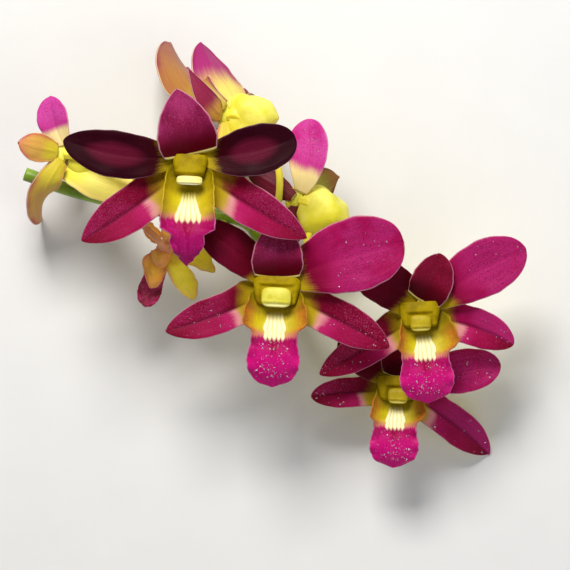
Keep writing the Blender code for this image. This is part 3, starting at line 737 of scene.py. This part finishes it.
def blade_formula(blade, base, turn, size, phase, flare, round_foot):
    """The formula of a blade in the bloom's frame, with a grooved midrib and rippled margins."""
    to_bloom = turn.transposed()
    start = base * size * blade.seat * FOOT_IN
    tip = to_bloom @ Vector(blade.tip)
    middle = (start + tip) / 2 + to_bloom @ Vector(blade.bend) * 2
    front = (to_bloom @ Vector(blade.looks)).normalized() if blade.looks else Vector((0, 0, 1))
    waves = (tip - start).length / RIPPLE_LONG
    soft = 0.001 if max(flare) else 0.06

    def place(u, v):
        v = 1 - (1 - v) ** 1.35
        centre = start * (1 - v) ** 2 + middle * 2 * v * (1 - v) + tip * v * v
        heading = ((middle - start) * (1 - v) + (tip - middle) * v).normalized()
        across = heading.cross(front).normalized()
        up = across.cross(heading)
        half = blade.width / 2 * outline(blade, v)
        edge = smooth((abs(u) - 0.35) / 0.65)
        side = 1.9 if u > 0 else 0.0
        ripple = math.sin(2 * math.pi * waves * v + phase + side) * math.sin(math.pi * min(v * 1.15, 1))
        extra = flare[0 if u > 0 else 1] * size * math.exp(-(((v - 0.17) / 0.15) ** 2))
        flat = 1 - 0.3 * min(extra, 3)
        crease = math.sqrt(u * u + soft) - math.sqrt(soft)
        lift = half * (blade.cup * u * u + blade.fold * crease) * flat + MARGIN_RIPPLE * edge * ripple
        lift -= RIB_DEPTH * math.exp(-((u / RIB_WIDE) ** 2)) * smooth(v / 0.15) * smooth((1 - v) / 0.2)
        lift += FACE_SWELL * math.sin(5.5 * v + phase * 2) * math.cos(2.2 * u + phase)
        lift -= MARGIN_ROLL * smooth((abs(u) - 0.82) / 0.18) * half / 7
        wobble = 1 + 0.01 * math.sin(23 * v + phase * 3 + side) + 0.006 * math.sin(41 * v + phase)
        point = centre + across * u * (half * wobble + extra * smooth(abs(u))) + up * lift
        point += heading * round_foot * (u * u - 0.5) * (1 - smooth(v / 0.3))
        if blade.crumple:
            shove = noise.noise_vector(point * 0.35 + Vector((phase, 0, 0)))
            point += shove * blade.crumple * smooth(v / 0.2)
        return point, v

    return place


def lip_formula(bloom, phase):
    """The formula of a lip, with upright side lobes about the column and a spreading tongue."""
    widths = ROUND_LIP if bloom.lip_round else POINTED_LIP
    walls = ROUND_WALL if bloom.lip_round else POINTED_WALL
    base_y = LIP_LINE[0][0]
    line = []
    for y, z in LIP_LINE:
        line.append(Vector((0, base_y * bloom.size + (y - base_y) * bloom.lip_length, z * bloom.size)))

    def half_width(v):
        if bloom.lip_round and v > ROUND_FROM:
            return 0.5 * math.sqrt(max(1 - ((v - ROUND_FROM) / (1 - ROUND_FROM)) ** 2, 0.0004))
        return along_stations(widths, v) * (bloom.lobes + (1 - bloom.lobes) * smooth((v - 0.3) / 0.12))

    def place(u, v):
        u *= 0.55 + 0.45 * u * u
        v = 1 - (1 - v) ** 1.4
        centre = spline_point(line, v)
        up = Vector((1, 0, 0)).cross(spline_way(line, v))
        if up.z < 0:
            up = -up
        half = half_width(v) * bloom.lip_width
        wall = along_stations(walls, v) * bloom.size
        steep = smooth(wall / 4)
        share = abs(u) * (1 - steep) + (1 - (1 - abs(u)) ** 1.5) * steep
        back = LOBE_BACK * bloom.size * u * u * (1 - smooth(v / 0.35))
        tongue = smooth((v - 0.45) / 0.12)
        edge = smooth((abs(u) - 0.5) / 0.5)
        side = 1.3 if u > 0 else 0.0
        lift = wall * u * u
        lift += TONGUE_RIPPLE * edge * tongue * math.sin(34 * v + phase + side)
        lift += LOBE_RIPPLE * edge * (1 - tongue) * math.sin(44 * v + phase + side) * smooth(v / 0.1)
        begin, end = FAN_ALONG
        fan = FAN_WIDE[0] + (FAN_WIDE[1] - FAN_WIDE[0]) * min(max((v - begin) / (end - begin), 0), 1) ** 2
        ridge = 0.5 + 0.5 * math.cos(RIDGES * math.pi * u / fan)
        keels = smooth((v - begin) / 0.08) * (1 - smooth((v - end) / 0.06))
        keels *= 1 - smooth((abs(u) / fan - 0.9) / 0.2)
        lift += keels * (KEEL_FLOOR + KEEL_RISE * ridge)
        lift -= TONGUE_GROOVE * tongue * math.exp(-((u / 0.1) ** 2)) * smooth((1 - v) / 0.3)
        lift += TONGUE_BULGE * tongue * (1 - u * u) * math.sin(math.pi * smooth((v - 0.45) / 0.55))
        wobble = 1 + 0.008 * math.sin(57 * v + phase + side) + 0.008 * math.sin(91 * v + phase * 2)
        wobble += math.copysign(bloom.skew, u) * (1 - smooth((v - 0.3) / 0.12))
        lean = bloom.lean * (1 - smooth(v / 0.6))
        point = centre + Vector((math.copysign(share * half * wobble, u) + lean, back, 0)) + up * lift
        return point, v, u

    return place


def squared_loop(centre, wide, deep, way, sides, power):
    """A loop of points round centre, an ellipse at a power of 2 and squarer above it."""
    loop = []
    for i in range(sides):
        x, y = math.cos(2 * math.pi * i / sides), math.sin(2 * math.pi * i / sides)
        out = (abs(x) ** power + abs(y) ** power) ** (-1 / power)
        loop.append(centre + Vector((wide * x * out, 0, 0)) + way * deep * y * out)
    return loop


def ring_loops(stations, size, count, sides, round_end, power, ripple, folds=0.0):
    """Loops along a smooth path through stations of y, z, half width and half depth, with a rounded end."""
    centres = [Vector((0, y, z)) * size for y, z, _, _ in stations]
    sizes = [Vector((wide, deep, 0)) * size for _, _, wide, deep in stations]
    loops = []
    for k in range(count + 1):
        t = k / count
        centre = spline_point(centres, t)
        wide, deep, _ = spline_point(sizes, t)
        shrink = math.sqrt(max(1 - max((t - 1 + round_end) / round_end, 0) ** 2, 0.02))
        way = Vector((1, 0, 0)).cross(spline_way(centres, t))
        loop = squared_loop(centre, wide * shrink, deep * shrink, way, sides, power)
        for i, point in enumerate(loop):
            fold = folds * math.sin(6 * math.pi * i / sides + 4 * t) * smooth(t / 0.2)
            loop[i] = centre + (point - centre) * (1 + fold) + noise.noise_vector(point * 0.22) * ripple
        loops.append(loop)
    return loops


def column_mesh(bloom, paint):
    """The hood, with a recess that the anther cap sits in."""
    rings = [(min(y, y * bloom.hood), z, wide * bloom.hood, deep) for y, z, wide, deep in COLUMN_RINGS]
    loops = ring_loops(rings, bloom.size, 54, 72, 0.16, 2.45, 0.2)
    for loop in loops:
        middle = sum(point.z for point in loop) / len(loop)
        for point in loop:
            if point.z > middle:
                beside = abs(point.x / bloom.size - bloom.cap[0]) - bloom.cap_half[0]
                beyond = abs(point.y / bloom.size - bloom.cap[1]) - bloom.cap_half[1]
                point.z -= CAP_RECESS * bloom.size * (1 - smooth(max(beside, beyond) / RECESS_EDGE))
            point.x += bloom.lean
    return loft("column", loops, paint)


def cap_mesh(bloom, paint):
    """The anther cap, a cushion with a groove down its middle and a square lower lip."""
    bm = bmesh.new()
    bmesh.ops.create_uvsphere(bm, u_segments=40, v_segments=24, radius=1)
    uv_map = bm.loops.layers.uv.new("Blade")
    for face in bm.faces:
        for loop in face.loops:
            loop[uv_map].uv = ((loop.vert.co.x + 1) / 2, (loop.vert.co.y + 1) / 2)
    for vert in bm.verts:
        x, y, z = vert.co
        squared = 1 / max((x**4 + y**4) ** 0.25 / max(math.hypot(x, y), 1e-6), 0.7)
        x, y = x * squared, y * squared
        z = math.copysign(abs(z) ** 0.6, z)
        z -= 0.07 * math.exp(-((x / 0.14) ** 2)) * smooth(z)
        z += 0.16 * math.exp(-(((y + 0.45) / 0.12) ** 2)) - 0.2 * math.exp(-(((y + 0.72) / 0.1) ** 2))
        for axis, value in enumerate((x, y, z)):
            vert.co[axis] = (bloom.cap[axis] + value * bloom.cap_half[axis]) * bloom.size * MM
        vert.co.x += bloom.lean * MM
    return mesh_from(bm, "cap", [paint])


def chin_mesh(bloom, paint):
    """The chin behind the lip, which joins the feet of the side sepals."""
    front = CHIN_RINGS[0][1]
    stations = []
    for y, z, wide, deep in CHIN_RINGS:
        far = front + (z - front) * bloom.chin
        stations.append((y * (1 - 0.4 * bloom.swell), far, wide * bloom.chin, deep * (1 + bloom.swell)))
    loops = ring_loops(stations, bloom.size, 40, 64, 0.3, 2.2, 0.4 * bloom.swell, 0.1 * bloom.swell)
    return loft("chin", loops, paint)


def tube_loops(points, radii, sides, ribs, count):
    """Loops round a path, with lengthwise ribs where it is thick."""
    loops = []
    side = None
    for k, (point, radius) in enumerate(zip(points, radii)):
        heading = (points[min(k + 1, len(points) - 1)] - points[max(k - 1, 0)]).normalized()
        side = heading.orthogonal() if side is None else side - heading * side.dot(heading)
        side.normalize()
        other = heading.cross(side)
        loop = []
        for i in range(sides):
            angle = 2 * math.pi * i / sides
            rib = 1 + ribs * math.cos(count * angle) * (radius > 1.3)
            loop.append(point + (side * math.cos(angle) + other * math.sin(angle)) * radius * rib)
        loops.append(loop)
    return loops


def stalk_mesh(letter, bloom, paint):
    """A bloom's stalk, which swells into its ovary."""
    turn = bloom_frame(bloom)
    middle = Vector(bloom.middle)
    foot = OVARY_TOP * bloom.size
    top = middle + turn @ Vector((0, 0, foot))
    below = middle + turn @ Vector((0, 0, foot - OVARY_LONG))
    controls = [Vector(p) for p in STALKS[letter]] + [below, top]
    steps = 14 * len(controls)
    ovary = OVARY_RADIUS_WILTED if letter == "h" else OVARY_RADIUS
    points, radii = [], []
    for i in range(steps + 1):
        t = i / steps
        swell = smooth((t - 0.55) / 0.35)
        points.append(spline_point(controls, t) - MIDDLE)
        radii.append(STALK_RADIUS + (ovary - STALK_RADIUS) * swell + 0.45 * math.exp(-((t / 0.04) ** 2)))
    return loft("stalk", tube_loops(points, radii, 24, 0.07, 6), paint)


def bract_mesh(letter, paint):
    """A small pointed scale that clasps the stem below a stalk."""
    root, further = Vector(STALKS[letter][0]) - MIDDLE, Vector(STALKS[letter][1]) - MIDDLE
    away = (further - root).normalized()
    side = away.orthogonal().normalized()
    out = away.cross(side)

    def place(u, v):
        half = BRACT_HALF_WIDTH * (1 - v) ** 0.7 + 0.05
        angle = u * 1.3 * (1 - 0.5 * v)
        reach = 1.9 + 0.7 * v * v
        point = root + away * (v * BRACT_LONG - 0.8)
        return point + side * math.sin(angle) * half + out * reach * math.cos(angle), v

    return sheet("bract", place, 8, 12, 0.4, 0.25, [paint, paint])


def stem_piece(paints):
    """The stem with its stalks and scales, thicker where a stalk leaves it."""
    places = [Vector(place) - MIDDLE for place, _ in STEM_ROUTE]
    steps = 22 * (len(places) - 1)
    radii = [(i / (len(STEM_ROUTE) - 1), radius) for i, (_, radius) in enumerate(STEM_ROUTE)]
    points, thick = [], []
    for i in range(steps + 1):
        point = spline_point(places, i / steps)
        points.append(point)
        near = min((point - (Vector(route[0]) - MIDDLE)).length for route in STALKS.values())
        thick.append(along_stations(radii, i / steps) + NODE_SWELL * math.exp(-((near / 1.6) ** 2)))
    meshes = [loft("stem", tube_loops(points, thick, 28, 0.02, 9), paints["stem"])]
    for letter, bloom in BLOOMS.items():
        meshes.append(stalk_mesh(letter, bloom, paints["wilted_stalk" if letter == "h" else "stalk"]))
        meshes.append(bract_mesh(letter, paints["bract"]))
    return joined("orchid_stem", meshes)


def drop_mesh(formulas, count, seed, paint):
    """Water drops that lie on the fronts of the given blades, each (formula, sign, low, high)."""
    rng = random.Random(seed)
    bm = bmesh.new()
    for _ in range(count):
        formula, sign, low, high = rng.choice(formulas)
        u, v = rng.uniform(-0.85, 0.85), rng.uniform(low, high)
        point = formula(u, v)[0]
        du, dv = formula(u + 0.02, v)[0] - point, formula(u, v + 0.02)[0] - point
        normal = du.cross(dv).normalized() * sign
        radius = rng.choice(DROP_RADII) * rng.uniform(0.85, 1.15)
        turn = normal.to_track_quat("Z", "Y").to_matrix().to_4x4()
        stretch = Matrix.Diagonal((radius, radius * rng.uniform(0.9, 1.3), radius * 0.62, 1))
        place = Matrix.Translation((point + normal * (LIP_THICK / 2 + radius * 0.25))) @ turn @ stretch
        place = Matrix.Scale(MM, 4) @ place
        bmesh.ops.create_uvsphere(bm, u_segments=10, v_segments=7, radius=1, matrix=place)
    return mesh_from(bm, "drops", [paint])


def dress(obj, slot, *nodes):
    """Sets what the piece rides on and hides the parts that it stands for; its slot is not used."""
    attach(obj, "root")
    if nodes:
        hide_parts(*nodes)


def build_bloom(letter, bloom, paints):
    """One bloom's six pieces, and its water drops."""
    turn = bloom_frame(bloom)
    matrix = bloom_matrix(bloom)
    wilted = letter == "h"
    open_bloom = bloom.facing == TO_VIEWER
    flares = {"lateral_left": (FLARE_UP, FLARE_DOWN), "lateral_right": (FLARE_DOWN, FLARE_UP)}
    formulas = {}
    for k, part in enumerate(BASES):
        flare = flares.get(part, NO_FLARE) if open_bloom else NO_FLARE
        round_foot = DORSAL_FOOT if open_bloom and part == "dorsal" else 0
        phase = 1.7 * k + 2.3 * (ord(letter) - ord("a"))
        blade = getattr(bloom, part)
        formulas[part] = blade_formula(blade, BASES[part], turn, bloom.size, phase, flare, round_foot)

    def blade_mesh(part):
        blade = getattr(bloom, part)
        kind = part if part.startswith("lateral") else "petal"
        back = back_material(blade.back)
        skins = [back if wilted else front_material(blade.look, kind), back]
        return sheet(part, formulas[part], BLADE_ACROSS, BLADE_ALONG, BLADE_THICK, BLADE_EDGE, skins)

    def place_piece(part, slot, *meshes):
        node = f"bloom_{letter}_{part}"
        dress(joined("orchid_" + node, meshes, matrix), slot, node)

    dark = "dark_" if letter == "a" else ""
    sepal, petal = ("wilted", "wilted") if wilted else (dark + "sepal", dark + "petal")
    place_piece("dorsal_sepal", sepal, blade_mesh("dorsal"))
    for part in ("petal_left", "petal_right"):
        place_piece(part, petal, blade_mesh(part))
    chin = chin_mesh(bloom, paints["chin_wilted" if wilted else "chin"])
    place_piece("lateral_sepals", sepal, blade_mesh("lateral_left"), blade_mesh("lateral_right"), chin)

    lip_skins = [paints["lip_round" if bloom.lip_round else "lip_pointed"], paints["lip_back"]]
    if wilted:
        lip_skins = [paints["wilted_lip"], paints["wilted_lip"]]
    lip_place = lip_formula(bloom, 1.1 * ord(letter))
    lip = sheet("lip", lip_place, LIP_ACROSS, LIP_ALONG, LIP_THICK, LIP_EDGE, lip_skins, flip=True)
    place_piece("lip", "lip", lip)

    column = column_mesh(bloom, paints["column" if open_bloom else "chin"])
    cap = cap_mesh(bloom, paints[bloom.cap_paint])
    place_piece("column", "column", column, cap)

    if bloom.drops:
        where = [(lip_place, -1, 0.36, 0.76)] * 6 if open_bloom else [(formulas["petal_left"], 1, 0.4, 0.9)]
        if open_bloom:
            for part in ("petal_right", "lateral_right", "lateral_left"):
                where.append((formulas[part], 1, 0.3, 0.92))
        drops = drop_mesh(where, bloom.drops, ord(letter), paints["water"])
        dress(joined(f"orchid_bloom_{letter}_drops", [drops], matrix), None)


def make_paints():
    """The materials of everything but the petals and sepals, by their names."""
    paints = {"water": water_material(), "stalk": stalk_material()}
    paints["lip_round"] = lip_material(False)
    paints["lip_pointed"] = lip_material(True)
    flesh = {
        "lip_back": ((196, 140, 60), (180, 60, 100), (160, 20, 84), 0.5, 0),
        "column": ((134, 112, 1), (162, 138, 2), (146, 110, 2), 0.6, 0, 260, 0.08),
        "chin": ((224, 216, 60), (238, 230, 104), (206, 206, 56), 0.5, 0, 140, 0.2),
        "chin_wilted": ((236, 176, 68), (226, 148, 76), (190, 84, 66), 0.6, 0),
        "stem": ((112, 150, 26), (140, 176, 46), (166, 172, 64)),
        "wilted_stalk": ((232, 164, 116), (214, 126, 98), (230, 186, 120), 0.6, 0),
        "bract": ((150, 160, 70), (176, 164, 90), (140, 110, 60), 0.6, 0),
        "wilted_lip": ((176, 20, 96), (130, 6, 40), (214, 90, 150), 0.5, 0, 260),
    }
    for name, tones in flesh.items():
        paints[name] = flesh_material(name, *tones)
    caps = {
        "cap_cream": ((228, 216, 120), (240, 230, 150), (248, 242, 196)),
        "cap_yellow": ((204, 194, 54), (222, 214, 88), (238, 232, 150)),
        "cap_olive": ((164, 142, 12), (182, 160, 24), (206, 190, 80)),
    }
    for name, tones in caps.items():
        paints[name] = cap_material(name, *tones)
    return paints


def area_light(name, place, size, power, colour):
    light = bpy.data.lights.new(name, "AREA")
    light.size = size
    light.energy = power
    light.color = colour
    obj = new_object(name, light)
    obj.location = place
    obj.rotation_euler = (-Vector(place)).to_track_quat("-Z", "Y").to_euler()


def set_stage():
    """A pale floor, soft light from the picture's top and a camera straight above."""
    bpy.ops.mesh.primitive_plane_add(size=FLOOR_WIDE)
    floor = bpy.context.active_object
    floor.name = "floor"
    shade = Shading("floor")
    shade.colour = shade.mix(shade.noise(60, 3), (223.3, 221.9, 219.2), (228.5, 227.2, 224.6))
    floor.data.materials.append(shade.finish(rough=0.8))
    for light in LIGHTS:
        area_light(*light)
    scene = bpy.context.scene
    world = scene.world or bpy.data.worlds.new("World")
    scene.world = world
    world.use_nodes = True
    sky = world.node_tree.nodes["Background"]
    sky.inputs["Color"].default_value = SKY_COLOUR
    sky.inputs["Strength"].default_value = SKY_POWER
    camera = bpy.data.cameras.new("camera")
    camera.lens = CAMERA_LENS
    camera.clip_end = CAMERA_REACH
    eye = new_object("camera", camera)
    eye.location = (-MIDDLE.x * MM, -MIDDLE.y * MM, CAMERA_HEIGHT)
    scene.camera = eye
    scene.view_settings.view_transform = "Standard"


def main():
    noise.seed_set(NOISE_SEED)
    paints = make_paints()
    dress(stem_piece(paints), "stem", "flower_stem")
    for letter, bloom in BLOOMS.items():
        build_bloom(letter, bloom, paints)
    set_stage()
    bpy.context.view_layer.update()


main()
